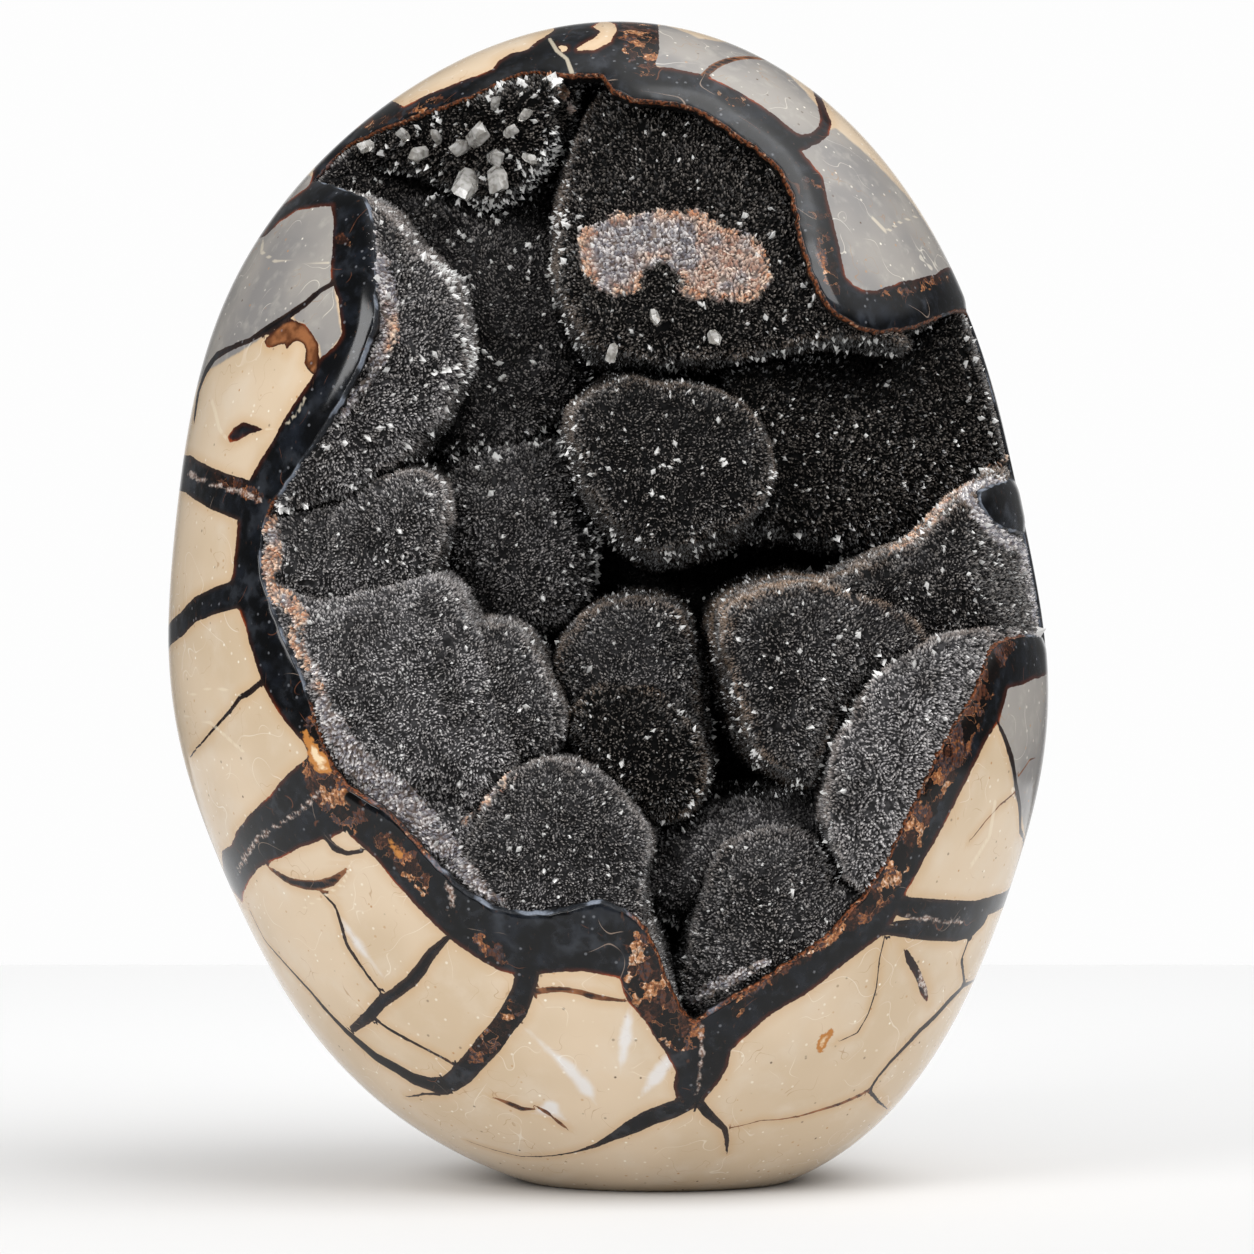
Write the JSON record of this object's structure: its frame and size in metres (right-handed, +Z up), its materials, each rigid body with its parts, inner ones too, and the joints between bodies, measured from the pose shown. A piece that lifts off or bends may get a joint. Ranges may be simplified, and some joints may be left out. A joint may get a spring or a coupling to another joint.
{
  "type": "septarian nodule",
  "caption": "Polished septarian nodule standing on a small flat spot, egg-shaped, with a wide lumpy hollow in its front lined with a crust of dark calcite crystals.",
  "frame": {"origin": "middle of the small flat spot on which the nodule stands", "axes": "+Z up, along the egg; the hollow looks along -Y, its thickness; +X to the right"},
  "size_m": [0.176, 0.1324, 0.2315],
  "materials": {
    "polished_stone": "polished",
    "calcite_druse": "sparkling"
  },
  "bodies": {
    "root": {"nodule": "polished_stone", "crystal_crust": "calcite_druse"}
  },
  "joints": []
}
